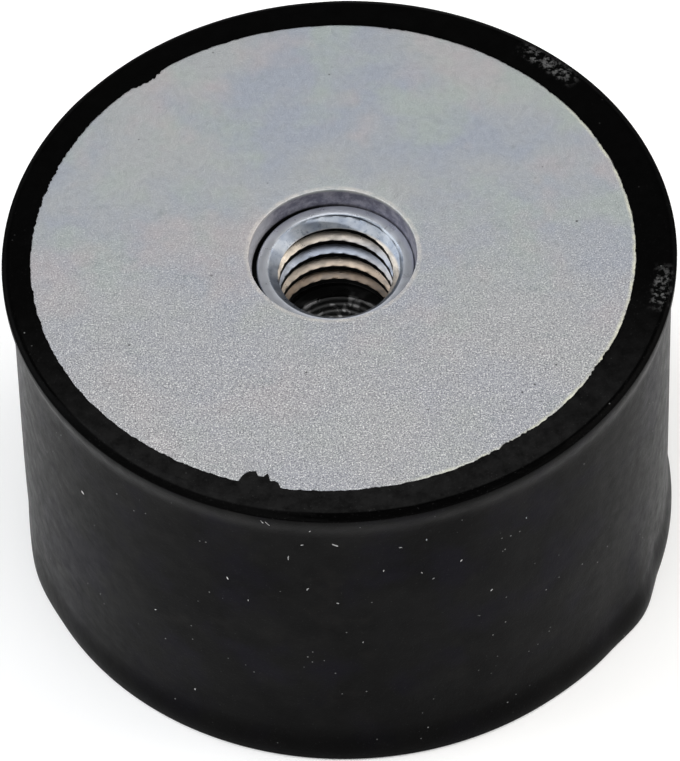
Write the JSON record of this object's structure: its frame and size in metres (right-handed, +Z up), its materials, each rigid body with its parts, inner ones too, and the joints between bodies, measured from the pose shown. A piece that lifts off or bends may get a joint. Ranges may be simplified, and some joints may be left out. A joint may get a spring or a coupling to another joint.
{
  "type": "bobbin vibration mount",
  "caption": "Round rubber bobbin mount with flush steel end plates and blind threaded bushes, for bolting a machine to its base and damping vibration.",
  "frame": {"origin": "on the threads' axis, in the bottom plate's outer face that the mount stands on", "axes": "+Z up along the threads' axis to the other end plate; +X towards the side where the rubber shows widest round the top plate"},
  "size_m": [0.05, 0.05, 0.03],
  "materials": {
    "rubber": "satin, dusty moulded black rubber with light scuffs",
    "plate_zinc": "zinc plated, satin, mottled with a fine grain",
    "bush_zinc": "zinc plated, turned, brighter than the plates"
  },
  "bodies": {
    "root": {"rubber_body": "rubber", "top_plate": "plate_zinc", "bottom_plate": "plate_zinc", "top_bush": "bush_zinc", "bottom_bush": "bush_zinc"}
  },
  "joints": []
}
